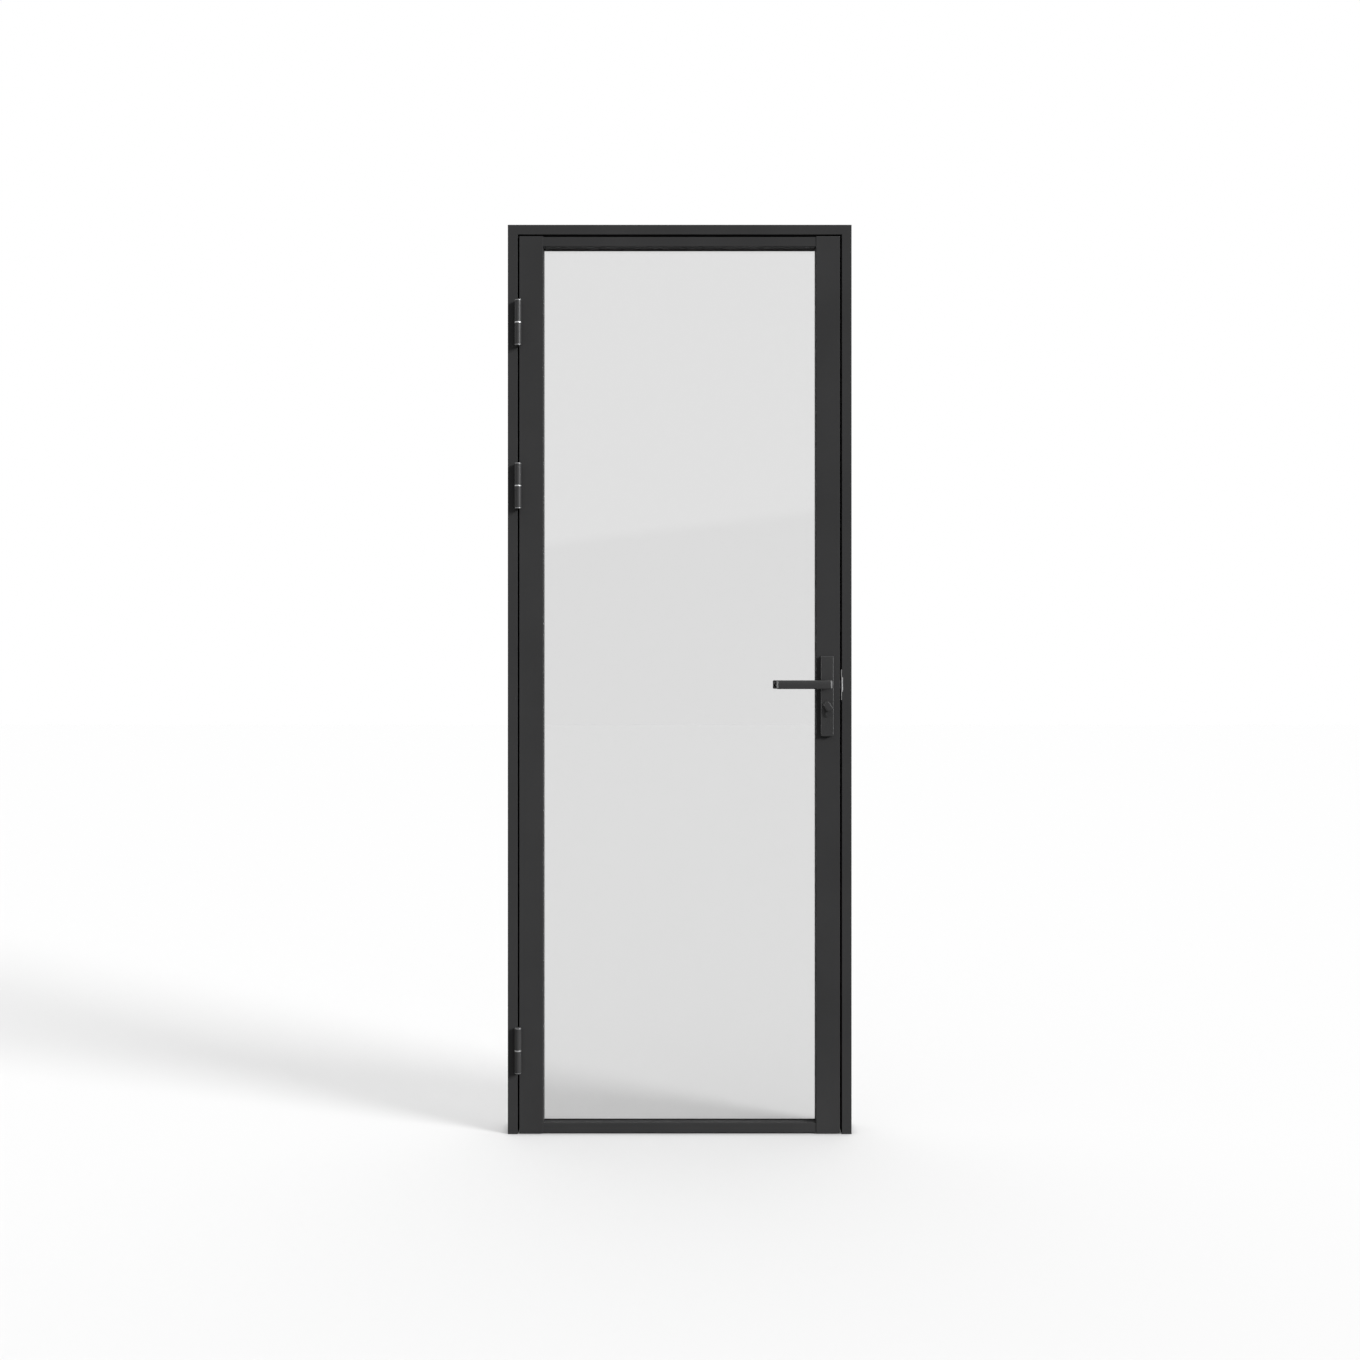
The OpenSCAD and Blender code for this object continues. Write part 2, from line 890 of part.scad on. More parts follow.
// Plastic blocks that carry and centre the glass: two below, two at each side
module setting_blocks() {
    x_quarter = (sight_x1 - sight_x0) / 4;
    z_quarter = (sight_z1 - sight_z0) / 4;
    color(plastic) {
        for (x = [sight_x0 + x_quarter, sight_x1 - x_quarter])
            translate([x - block_len / 2, glass_y0, stile_z0 + rail_box])
                cube([block_len, glass_t, block_t]);
        for (x = [leaf_x0 + stile_box, leaf_x1 - stile_box - block_t])
            for (z = [sight_z0 + z_quarter, sight_z1 - z_quarter])
                translate([x, glass_y0, z - block_len / 2])
                    cube([block_t, glass_t, block_len]);
    }
}

// Screw along +X, its head's seat at the origin
module pan_screw_x() {
    difference() {
        union() {
            bar_x(-screw_head_h, 0, 0, 0, screw_head_r);
            bar_x(-eps, rail_screw_len, 0, 0, rail_screw_d / 2);
        }
        for (a = [0, 90])
            rotate([a, 0, 0])
                translate([-screw_head_h - eps, -0.5, -2.5])
                    cube([eps + 1.5, 1, 5]);
    }
}

module rail_screws() {
    seat = stile_box - wall;
    color(steel)
        for (z = rail_screw_zs, v = port_vs) {
            translate([leaf_x0 + seat, front + v, z])
                pan_screw_x();
            translate([leaf_x1 - seat, front + v, z])
                mirror([1, 0, 0])
                    pan_screw_x();
        }
}

// Cap for the end of a stile, its seat at Z = 0 and its plug below
module stile_cap() {
    plug_h = 10;
    translate([0, front, 0])
        linear_extrude(end_cap_t)
            stile_outline();
    translate([wall + slip, front + wall + slip, -plug_h])
        cube([stile_box - 2 * wall - 2 * slip, lip_d - wall - slip, plug_h]);
}

module stile_end_caps() {
    color(plastic)
        for (side = [[leaf_x0, 0], [leaf_x1, 1]]) {
            translate([side[0], 0, stile_z1])
                mirror([side[1], 0, 0])
                    stile_cap();
            translate([side[0], 0, stile_z0])
                mirror([side[1], 0, 0])
                    mirror([0, 0, 1])
                        stile_cap();
        }
}

// Strip under the bottom rail with two fins that stop short of the floor
module bottom_seal() {
    base_h = 1;
    base_w = 14;
    fin_w = 1.6;
    floor_clear = 1;
    color(rubber)
        for (part = [[-base_w / 2, base_w, stile_z0 - base_h], [-5, fin_w, floor_clear],
                [5 - fin_w, fin_w, floor_clear]])
            translate([sight_x0 + slip, part[0], part[2]])
                cube([sight_x1 - sight_x0 - 2 * slip, part[1], stile_z0 - part[2]]);
}

// Outline of the profile cylinder: round above, narrow tail below, grown on all sides
module euro_profile(grow) {
    circle(euro_r + grow);
    translate([-euro_tail_r - grow, -euro_drop])
        square([2 * (euro_tail_r + grow), euro_drop]);
    translate([0, -euro_drop])
        circle(euro_tail_r + grow);
}

module lock_case() {
    inner = case_t / 2 - case_wall;
    color(zinc)
        difference() {
            translate([case_x0, -case_t / 2, case_z0])
                cube([case_x1 - case_x0, case_t, case_z1 - case_z0]);
            translate([case_x0 + case_wall, -inner, case_z0 + case_wall])
                cube([case_x1 - case_x0, 2 * inner, case_z1 - case_z0 - 2 * case_wall]);
            bar_y(axis_x, -case_t, case_t, handle_z, journal_r + running);
            translate([axis_x, 0, cylinder_z])
                along_y(-case_t, case_t)
                    euro_profile(slip);
        }
}

module lock_forend() {
    color(steel)
        difference() {
            translate([case_x1, -forend_w / 2, forend_z0])
                cube([wall, forend_w, forend_z1 - forend_z0]);
            bolt_pockets(case_x1 - eps, leaf_x1 + eps, free);
            for (z = concat(forend_screw_zs, [cylinder_z - euro_drop]))
                forend_screw_hole(z);
        }
}

// Countersunk hole through the forend and what lies behind it
module forend_screw_hole(z) {
    translate([leaf_x1, 0, z])
        rotate([0, 90, 0])
            csk_hole(screw_len);
}

// Bars behind the ends of the forend's opening, which the forend is screwed to
module lock_lugs() {
    lug_w = forend_w + 2 * lug_lap;
    lug_h = 2 * (forend_run - 8) - lug_lap;
    color(zinc)
        for (z = forend_screw_zs)
            difference() {
                translate([case_x1 - lug_t, -lug_w / 2, z - lug_h / 2])
                    cube([lug_t, lug_w, lug_h]);
                forend_screw_hole(z);
            }
}

module forend_screws() {
    color(steel)
        for (z = forend_screw_zs)
            translate([leaf_x1, 0, z])
                rotate([0, 90, 0])
                    csk_screw(screw_len);
}

module cylinder_screw() {
    color(steel)
        translate([leaf_x1, 0, cylinder_z - euro_drop])
            rotate([0, 90, 0])
                csk_screw(backset + euro_tail_r - slip);
}

// Front outline of the back plates: small corners above, rounder ones below
module plate_outline() {
    top_r = plate_edge_r;
    low_r = 3 * plate_edge_r;
    height = plate_above + plate_below;
    translate([-plate_w / 2, -plate_below]) {
        soft_rect(plate_w, height / 2, low_r);
        translate([0, 2 * low_r])
            soft_rect(plate_w, height - 2 * low_r, top_r);
    }
}

// Cast back plate with round edges, hollow behind, its back at the origin and its face along -Y
module back_plate() {
    skin = 2.5;
    rim = 3;
    height = plate_above + plate_below;
    bolts = [plate_above - 12, 12 - plate_below];
    difference() {
        intersection() {
            along_y(-plate_t, 0)
                plate_outline();
            translate([-plate_w / 2, -plate_t, -plate_below])
                linear_extrude(height)
                    soft_rect(plate_w, 2 * plate_t, plate_edge_r);
            translate([-plate_w / 2, 0, plate_above])
                rotate([0, 90, 0])
                    linear_extrude(plate_w)
                        translate([0, -plate_t])
                            soft_rect(height, 2 * plate_t, plate_edge_r);
        }
        along_y(skin - plate_t, eps)
            difference() {
                translate([rim - plate_w / 2, rim - plate_below])
                    soft_rect(plate_w - 2 * rim, height - 2 * rim, rim);
                circle(neck_r + free + rim);
                translate([0, -lock_centres])
                    euro_profile(free + skin);
                for (z = bolts)
                    translate([0, z])
                        circle(plate_bolt_d / 2 + rim);
            }
        bar_y(0, -plate_t - eps, eps, 0, neck_r + free);
        translate([0, 0, -lock_centres])
            along_y(-plate_t - eps, eps)
                euro_profile(free);
    }
}

module front_plate() {
    thread = plate_t - 3;
    color(hardware)
        translate([axis_x, front, handle_z])
            difference() {
                back_plate();
                for (z = plate_bolt_zs)
                    bar_y(0, -thread, eps, z - handle_z, plate_bolt_d / 2 + slip);
            }
}

module rear_plate() {
    color(hardware)
        translate([axis_x, -front, handle_z])
            mirror([0, 1, 0])
                difference() {
                    back_plate();
                    for (z = plate_bolt_zs) {
                        bar_y(0, -plate_t - eps, eps, z - handle_z, plate_bolt_d / 2 + slip);
                        translate([0, -plate_t, z - handle_z])
                            rotate([-90, 0, 0])
                                cylinder(r1 = plate_bolt_d + slip, r2 = plate_bolt_d / 2 + slip,
                                    h = plate_bolt_d / 2);
                    }
                }
}

// Bolts from the rear plate through the stile into the bosses of the front plate
module plate_bolts() {
    head_h = plate_bolt_d / 2 - slip;
    color(steel)
        for (z = plate_bolt_zs)
            difference() {
                union() {
                    bar_y(axis_x, 4 - plate_y, plate_y, z, plate_bolt_d / 2);
                    translate([axis_x, plate_y - slip, z])
                        rotate([90, 0, 0])
                            cylinder(r1 = plate_bolt_d - slip, r2 = plate_bolt_d / 2, h = head_h);
                }
                translate([axis_x, plate_y - 2, z])
                    rotate([-90, 0, 0])
                        cylinder(d = plate_bolt_d * 0.6, h = 2 + eps, $fn = 6);
            }
}

// Rectangle from the origin with bevels at the two ends of its near side
module bevelled(w, t, bevel) {
    polygon([[bevel, 0], [w - bevel, 0], [w, bevel], [w, t], [0, t], [0, bevel]]);
}

// Lever with its neck, the spindle's axis at the origin and the face along -Y
module lever() {
    back = lever_face_y - lever_t;
    corner_r = lever_h / 8;
    span = lever_len + neck_r;
    difference() {
        union() {
            intersection() {
                along_y(-lever_face_y, -back)
                    translate([-lever_len, -lever_h / 2])
                        soft_rect(span, lever_h, corner_r);
                translate([-lever_len, -lever_face_y, -lever_h / 2])
                    linear_extrude(lever_h)
                        bevelled(span, lever_t, lever_bevel);
                translate([-lever_len, -lever_face_y, lever_h / 2])
                    rotate([0, 90, 0])
                        linear_extrude(span)
                            soft_rect(lever_h, lever_t, corner_r);
            }
            bar_y(0, -back - corner_r - eps, front - eps, 0, neck_r);
        }
        translate([-spindle_w / 2 - slip, -socket_end, -spindle_w / 2 - slip])
            cube([spindle_w + 2 * slip, socket_end, spindle_w + 2 * slip]);
        translate([0, -grub_y(), -neck_r - eps])
            cylinder(r = screw_r + 0.5 + slip, h = neck_r);
    }
}

function grub_y() = plate_y + (lever_reach - lever_t) / 3;

module front_lever() {
    color(hardware)
        translate([axis_x, 0, handle_z])
            lever();
}

module rear_lever() {
    color(hardware)
        translate([axis_x, 0, handle_z])
            mirror([0, 1, 0])
                lever();
}

module spindle() {
    reach = socket_end - free;
    color(zinc)
        translate([axis_x - spindle_w / 2, -reach, handle_z - spindle_w / 2])
            cube([spindle_w, 2 * reach, spindle_w]);
}

module lever_grub_screws() {
    top = -spindle_w / 2 - running;
    color(steel)
        for (y = [-grub_y(), grub_y()])
            translate([axis_x, y, handle_z - neck_r + 0.5])
                difference() {
                    cylinder(r = screw_r + 0.5, h = neck_r - 0.5 + top);
                    translate([0, 0, -eps])
                        cylinder(d = 2.5, h = eps + 1.5, $fn = 6);
                }
}

// Arm from the axis outwards, turned by angle from straight up towards -X
module arm(angle, reach) {
    rotate([0, 0, angle])
        translate([-finger_w / 2, 0])
            square([finger_w, reach]);
}

// Follower that the spindle turns: its finger draws the latch bolt back
module follower() {
    half = case_t / 2 - case_wall - slip;
    color(zinc)
        translate([axis_x, 0, handle_z])
            difference() {
                union() {
                    bar_y(0, -half, half, 0, hub_r);
                    bar_y(0, -case_t / 2, case_t / 2, 0, journal_r);
                    along_y(-half / 2, half / 2)
                        arm(finger_rest, finger_reach);
                }
                translate([-spindle_w / 2 - running, -case_t, -spindle_w / 2 - running])
                    cube([spindle_w + 2 * running, 2 * case_t, spindle_w + 2 * running]);
            }
}

// Latch bolt with its head in the forend and its tail hooked behind the follower's finger
module latch_bolt() {
    tip = backset + latch_out;
    head_back = hub_r + latch_throw + 0.7;
    tail_z = finger_reach + 0.6;
    tail_h = 4;
    hook_x = 3;
    hook_w = 3.2;
    hook_z = 10;
    riser_w = 3.8;
    color(zinc)
        translate([axis_x, 0, handle_z])
            difference() {
                along_y(-bolt_t / 2, bolt_t / 2)
                    union() {
                        translate([head_back, -latch_h / 2])
                            square([tip - head_back, latch_h]);
                        translate([head_back, 0])
                            square([riser_w, tail_z + tail_h]);
                        translate([hook_x, tail_z])
                            square([head_back + riser_w - hook_x, tail_h]);
                        translate([hook_x, hook_z])
                            square([hook_w, tail_z + tail_h - hook_z]);
                    }
                translate([tip, -bolt_t / 2 + 2, 0])
                    rotate([0, 0, 45])
                        translate([0, 0, -latch_h])
                            cube([latch_h, latch_h, 2 * latch_h]);
            }
}

// Deadbolt with its head in the forend and its tail forked over the cam's lobe
module deadbolt() {
    head_back = euro_r + 0.7;
    head_tip = backset - free;
    tail_z = cam_reach + 0.9;
    tail_h = 3.6;
    prong_z = euro_r + 1.1;
    riser_end = forend_u - deadbolt_throw - free;
    fork_x0 = -hub_r - 0.1;
    fork_x1 = -7.9;
    prong_x = 0.9;
    prong_w = 3;
    color(zinc)
        translate([axis_x, 0, cylinder_z])
            along_y(-bolt_t / 2, bolt_t / 2)
                union() {
                    translate([head_back, -deadbolt_h / 2])
                        square([head_tip - head_back, deadbolt_h]);
                    translate([head_back, 0])
                        square([riser_end - head_back, tail_z + tail_h]);
                    translate([fork_x0, tail_z])
                        square([riser_end - fork_x0, tail_h]);
                    translate([fork_x0, prong_z])
                        square([fork_x1 - fork_x0, tail_z + tail_h - prong_z]);
                    translate([prong_x, prong_z])
                        square([prong_w, tail_z + tail_h - prong_z]);
                }
}

// Profile cylinder, cut open in the middle for the cam
module lock_cylinder() {
    color(steel)
        translate([axis_x, 0, cylinder_z])
            difference() {
                along_y(-cylinder_y, cylinder_y)
                    euro_profile(0);
                bar_y(0, -cylinder_y - eps, cylinder_y + eps, 0, turn_bore);
                translate([-euro_r - eps, -cam_half - free, -euro_r - eps])
                    cube([2 * euro_r + 2 * eps, 2 * cam_half + 2 * free, 2 * euro_r + 2 * eps]);
                bar_x(-euro_r - eps, euro_r + eps, 0, -euro_drop, screw_r + slip);
            }
}

module key_plug() {
    slot_w = 2;
    slot_h = 7.5;
    color(steel)
        translate([axis_x, 0, cylinder_z])
            difference() {
                bar_y(0, cam_half + free, cylinder_y, 0, rotor_r);
                translate([-slot_w / 2, cylinder_y - 20, -slot_h / 2])
                    cube([slot_w, 20 + eps, slot_h]);
            }
}

// Thumb turn: a bevelled grip on a shaft that reaches the cam
module thumb_turn() {
    seat = cylinder_y + free;
    color(hardware)
        translate([axis_x, 0, cylinder_z])
            union() {
                bar_y(0, -seat - eps, -cam_half, 0, rotor_r);
                translate([0, -seat, 0])
                    rotate([0, -turn_rest, 0])
                        turn_grip();
            }
}

// Grip with its seat at the origin and its bevelled face along -Y
module turn_grip() {
    intersection() {
        along_y(-turn_out, 0)
            translate([-turn_w / 2, -turn_len / 2])
                soft_rect(turn_w, turn_len, turn_corner_r);
        translate([-turn_w / 2, -turn_out, -turn_len / 2])
            linear_extrude(turn_len)
                bevelled(turn_w, turn_out, turn_bevel);
        translate([-turn_w / 2, -turn_out, turn_len / 2])
            rotate([0, 90, 0])
                linear_extrude(turn_w)
                    bevelled(turn_len, turn_out, turn_bevel);
    }
}

module cylinder_cam() {
    half = cam_half - slip;
    color(zinc)
        translate([axis_x, 0, cylinder_z])
            along_y(-half, half)
                union() {
                    circle(cam_r);
                    arm(cam_rest, cam_reach);
                }
}

hinge_jamb();
lock_jamb();
head();
corner_cleats();
frame_seal();
strike_plate();
strike_screws();
hinge_frame_flag(hinge_low_z);  // low_hinge_frame_flag
hinge_frame_flag(hinge_mid_z);  // mid_hinge_frame_flag
hinge_frame_flag(hinge_top_z);  // top_hinge_frame_flag
hinge_pin(hinge_low_z);  // low_hinge_pin
hinge_pin(hinge_mid_z);  // mid_hinge_pin
hinge_pin(hinge_top_z);  // top_hinge_pin
hinge_washer(hinge_low_z);  // low_hinge_washer
hinge_washer(hinge_mid_z);  // mid_hinge_washer
hinge_washer(hinge_top_z);  // top_hinge_washer
hinge_bottom_caps();
hinge_frame_screws();
hinge_stile();
lock_stile();
top_rail();
bottom_rail();
glass_pane();
front_gasket();
rear_gasket();
hinge_bead();
lock_bead();
top_bead();
bottom_bead();
setting_blocks();
rail_screws();
stile_end_caps();
bottom_seal();
hinge_leaf_flag(hinge_low_z);  // low_hinge_leaf_flag
hinge_leaf_flag(hinge_mid_z);  // mid_hinge_leaf_flag
hinge_leaf_flag(hinge_top_z);  // top_hinge_leaf_flag
hinge_top_caps();
hinge_leaf_screws();
lock_case();
lock_forend();
lock_lugs();
forend_screws();
front_plate();
rear_plate();
plate_bolts();
lock_cylinder();
key_plug();
cylinder_screw();
front_lever();
rear_lever();
spindle();
follower();
lever_grub_screws();
latch_bolt();
thumb_turn();
cylinder_cam();
deadbolt();
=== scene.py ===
import bmesh
import bpy
import numpy as np
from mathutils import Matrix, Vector


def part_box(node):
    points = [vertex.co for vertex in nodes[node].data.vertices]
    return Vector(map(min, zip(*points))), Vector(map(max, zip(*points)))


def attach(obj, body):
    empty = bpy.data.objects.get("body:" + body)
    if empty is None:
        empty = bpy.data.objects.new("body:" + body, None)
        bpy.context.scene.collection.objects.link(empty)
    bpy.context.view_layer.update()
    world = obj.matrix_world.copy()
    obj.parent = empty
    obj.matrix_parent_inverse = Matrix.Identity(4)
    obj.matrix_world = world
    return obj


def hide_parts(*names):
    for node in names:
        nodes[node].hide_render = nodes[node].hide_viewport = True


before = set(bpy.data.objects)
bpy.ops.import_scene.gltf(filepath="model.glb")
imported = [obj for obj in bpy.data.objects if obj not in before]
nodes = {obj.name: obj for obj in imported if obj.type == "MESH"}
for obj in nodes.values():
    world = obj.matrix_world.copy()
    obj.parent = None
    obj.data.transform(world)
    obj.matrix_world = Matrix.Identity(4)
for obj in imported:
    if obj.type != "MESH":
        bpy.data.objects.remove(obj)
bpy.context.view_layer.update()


# Jambs and head
# Three hollow aluminium profiles, sawn at 45 degrees and crimped over cleats in the top corners.
# Their powder coat is near black and matt, with a fine grain and a breath of dust close to the floor.
COAT_TONE = (0.0355, 0.0355, 0.036, 1)
COAT_MATT = 0.5
COAT_SPECULAR = 0.02
COAT_GRAINS_PER_M = 1500
COAT_BUMP = (0.3, 0.0003)
CLOUDS_PER_M = 5.0
CLOUD_SHADES = (0.93, 1.07)
CLOUD_MATT = (-0.035, 0.035)
GRAIN_MATT = (-0.03, 0.03)
DUST_TONE = (0.20, 0.195, 0.185, 1)
DUST_HEIGHT = 0.22
DUST_MOST = 0.02
DUST_PATCHES = (0.35, 0.7)
DUST_SHARES = (0.2, 1.0)
NOISE_BAND = (0.3, 0.7)


def feed(tree, inputs, feeds):
    """Fills inputs by name or number: a socket is linked to them, a plain value is set on them."""
    for key, value in feeds.items():
        if isinstance(value, bpy.types.NodeSocket):
            tree.links.new(value, inputs[key])
        else:
            inputs[key].default_value = value


def add_node(tree, kind, feeds, **options):
    """One node in a tree: options set its properties, feeds fill its inputs."""
    node = tree.nodes.new(kind)
    for key, value in options.items():
        setattr(node, key, value)
    feed(tree, node.inputs, feeds)
    return node


def combine(tree, operation, a, b):
    """Socket that carries one step of arithmetic on two values."""
    return add_node(tree, "ShaderNodeMath", {0: a, 1: b}, operation=operation).outputs[0]


def remap(tree, value, source, target):
    """Socket that carries a value from the source range onto the target range, clamped."""
    feeds = {"Value": value, "From Min": source[0], "From Max": source[1],
             "To Min": target[0], "To Max": target[1]}
    return add_node(tree, "ShaderNodeMapRange", feeds).outputs["Result"]


def noise(tree, place, per_metre, detail):
    """Socket that carries soft random patches, about so many to the metre, mostly within NOISE_BAND."""
    feeds = {"Vector": place, "Scale": per_metre, "Detail": detail}
    return add_node(tree, "ShaderNodeTexNoise", feeds).outputs["Fac"]


def shade(tree, tone, factor):
    """Socket that carries a colour times a factor."""
    return add_node(tree, "ShaderNodeVectorMath", {0: tone, "Scale": factor}, operation="SCALE").outputs[0]


def finish_group(name, inputs):
    """Empty shader node group for a finish. Its inputs are rows of label, kind and value, and its outputs
    are Color, Roughness and Height. Returns the tree, both sets of sockets and the Object coordinates."""
    tree = bpy.data.node_groups.new(name, "ShaderNodeTree")
    for label, kind, value in inputs:
        tree.interface.new_socket(label, in_out="INPUT", socket_type=kind).default_value = value
    tree.interface.new_socket("Color", in_out="OUTPUT", socket_type="NodeSocketColor")
    tree.interface.new_socket("Roughness", in_out="OUTPUT", socket_type="NodeSocketFloat")
    tree.interface.new_socket("Height", in_out="OUTPUT", socket_type="NodeSocketFloat")
    given = tree.nodes.new("NodeGroupInput").outputs
    made = tree.nodes.new("NodeGroupOutput").inputs
    return tree, given, made, add_node(tree, "ShaderNodeTexCoord", {}).outputs["Object"]


def finish_material(name, group, values, bump, plain):
    """Material whose colour, roughness and relief come from one shared group. values fill the group's
    inputs, bump is (strength, distance in metres), and plain holds settings that are the same all over."""
    material = bpy.data.materials.new(name)
    material.use_nodes = True
    tree = material.node_tree
    finish = add_node(tree, "ShaderNodeGroup", values, node_tree=group).outputs
    relief = add_node(tree, "ShaderNodeBump", {
        "Height": finish["Height"], "Strength": bump[0], "Distance": bump[1]})
    feed(tree, tree.nodes["Principled BSDF"].inputs, {
        "Base Color": finish["Color"], "Roughness": finish["Roughness"], "Normal": relief.outputs["Normal"],
        **plain})
    return material


def dress(material, *names):
    """Puts one material on all the slots of these CAD nodes."""
    for name in names:
        nodes[name].data.materials.clear()
        nodes[name].data.materials.append(material)


def coat_group():
    """Powder coat: cloudy tone and roughness at arm's length, pinhead grain close up, dust towards Z = 0."""
    tree, given, made, place = finish_group("powder_coat", [
        ("Tone", "NodeSocketColor", COAT_TONE), ("Matt", "NodeSocketFloat", COAT_MATT),
        ("Grains", "NodeSocketFloat", COAT_GRAINS_PER_M)])
    cloud = noise(tree, place, CLOUDS_PER_M, 4.0)
    grain = noise(tree, place, given["Grains"], 2.0)
    tone = shade(tree, given["Tone"], remap(tree, cloud, NOISE_BAND, CLOUD_SHADES))
    height = add_node(tree, "ShaderNodeSeparateXYZ", {0: place}).outputs["Z"]
    low_down = remap(tree, height, (0.0, DUST_HEIGHT), (DUST_MOST, 0.0))
    dust = combine(tree, "MULTIPLY", low_down, remap(tree, cloud, DUST_PATCHES, DUST_SHARES))
    dusty = add_node(tree, "ShaderNodeMix", {"Factor": dust, "A": tone, "B": DUST_TONE}, data_type="RGBA")
    drift = combine(tree, "ADD", given["Matt"], remap(tree, cloud, NOISE_BAND, CLOUD_MATT))
    rough = combine(tree, "ADD", drift, remap(tree, grain, NOISE_BAND, GRAIN_MATT))
    feed(tree, made, {"Color": dusty.outputs["Result"], "Roughness": rough, "Height": grain})
    return tree


powder_coat = coat_group()
frame_coat = finish_material(
    "frame_coat", powder_coat, {"Tone": COAT_TONE, "Matt": COAT_MATT, "Grains": COAT_GRAINS_PER_M},
    COAT_BUMP, {"Specular IOR Level": COAT_SPECULAR})
dress(frame_coat, "hinge_jamb", "lock_jamb", "head")


# Corner cleats
# Two cast aluminium angles, pushed into the mitred corners and held by crimping the profiles over them.
# They lie inside the profiles, so only their sandy casting skin needs to be right.
CAST_TONE = (0.5, 0.5, 0.51, 1)
CAST_BUMP = (0.4, 0.0005)
CAST_PATCHES_PER_M = 60.0
CAST_SHADES = (0.8, 1.1)
PEBBLES_PER_M = 700.0
PEBBLE_MATT = (0.45, 0.65)


def cast_group():
    """Sand-cast metal: pale and dark patches, and a coarse pebbled skin."""
    tree, given, made, place = finish_group("cast_skin", [("Tone", "NodeSocketColor", CAST_TONE)])
    patch = noise(tree, place, CAST_PATCHES_PER_M, 4.0)
    pebble = noise(tree, place, PEBBLES_PER_M, 3.0)
    tone = shade(tree, given["Tone"], remap(tree, patch, NOISE_BAND, CAST_SHADES))
    rough = remap(tree, pebble, NOISE_BAND, PEBBLE_MATT)
    feed(tree, made, {"Color": tone, "Roughness": rough, "Height": pebble})
    return tree


cast_skin = cast_group()
cast_aluminium = finish_material(
    "cast_aluminium", cast_skin, {"Tone": CAST_TONE}, CAST_BUMP, {"Metallic": 1.0})
dress(cast_aluminium, "corner_cleats")


# Frame seal
# One extruded rubber strip with a hollow bulb, pressed into the groove of the door stop and mitred above.
# The rubber is black, dull, and a little chalky where it has been handled.
RUBBER_TONE = (0.011, 0.011, 0.0115, 1)
RUBBER_BUMP = (0.2, 0.0002)
RUBBER_SPECULAR = 0.3
RUBBER_PATCHES_PER_M = 25.0
RUBBER_MATT = (0.62, 0.8)
CHALK_TONE = (0.3, 0.3, 0.3, 1)
CHALK_MOST = 0.04
CHALK_PATCHES = (0.45, 0.75)
PORES_PER_M = 2200.0


def rubber_group():
    """Extruded rubber: a chalky bloom in soft patches, and fine pores."""
    tree, given, made, place = finish_group("rubber_skin", [
        ("Tone", "NodeSocketColor", RUBBER_TONE), ("Bloom", "NodeSocketFloat", CHALK_MOST)])
    patch = noise(tree, place, RUBBER_PATCHES_PER_M, 4.0)
    pores = noise(tree, place, PORES_PER_M, 2.0)
    chalk = combine(tree, "MULTIPLY", remap(tree, patch, CHALK_PATCHES, (0.0, 1.0)), given["Bloom"])
    tone = add_node(tree, "ShaderNodeMix", {
        "Factor": chalk, "A": given["Tone"], "B": CHALK_TONE}, data_type="RGBA")
    rough = remap(tree, patch, NOISE_BAND, RUBBER_MATT)
    feed(tree, made, {"Color": tone.outputs["Result"], "Roughness": rough, "Height": pores})
    return tree


rubber_skin = rubber_group()
seal_rubber = finish_material(
    "seal_rubber", rubber_skin, {"Tone": RUBBER_TONE, "Bloom": CHALK_MOST},
    RUBBER_BUMP, {"Specular IOR Level": RUBBER_SPECULAR})
dress(seal_rubber, "frame_seal")


# Strike plate and its screws
# Pressed stainless strip, let over the lock jamb's edge, its bright lip bent round to guide the latch.
# It is brushed lengthwise. The countersunk screws are zinc plated.
STEEL_TONE = (0.62, 0.623, 0.627, 1)
STEEL_POLISH = 0.3
STEEL_BUMP = (0.15, 0.0001)
BRUSHED_UPRIGHT = (7000.0, 7000.0, 40.0)
LINE_SHADES = (0.86, 1.06)
LINE_MATT = (-0.06, 0.08)
STAINS_PER_M = 90.0
STAIN_SHADES = (0.95, 1.03)
ZINC_TONE = (0.44, 0.445, 0.45, 1)
ZINC_BUMP = (0.1, 0.0002)


def brushed_group():
    """Fine lines in metal: noise squeezed across the lines, so that it changes fast there
    and slowly along them."""
    tree, given, made, place = finish_group("brushed_lines", [
        ("Tone", "NodeSocketColor", STEEL_TONE), ("Across", "NodeSocketVector", BRUSHED_UPRIGHT),
        ("Polish", "NodeSocketFloat", STEEL_POLISH)])
    squeezed = add_node(tree, "ShaderNodeVectorMath", {0: place, 1: given["Across"]}, operation="MULTIPLY")
    lines = noise(tree, squeezed.outputs[0], 1.0, 3.0)
    stain = noise(tree, place, STAINS_PER_M, 3.0)
    lined = remap(tree, lines, NOISE_BAND, LINE_SHADES)
    stained = remap(tree, stain, NOISE_BAND, STAIN_SHADES)
    tone = shade(tree, given["Tone"], combine(tree, "MULTIPLY", lined, stained))
    rough = combine(tree, "ADD", given["Polish"], remap(tree, lines, NOISE_BAND, LINE_MATT))
    feed(tree, made, {"Color": tone, "Roughness": rough, "Height": lines})
    return tree


brushed_lines = brushed_group()
strike_steel = finish_material(
    "strike_steel", brushed_lines, {"Tone": STEEL_TONE, "Across": BRUSHED_UPRIGHT, "Polish": STEEL_POLISH},
    STEEL_BUMP, {"Metallic": 1.0})
zinc_plate = finish_material("zinc_plate", cast_skin, {"Tone": ZINC_TONE}, ZINC_BUMP, {"Metallic": 1.0})
dress(strike_steel, "strike_plate")
dress(zinc_plate, "strike_screws")


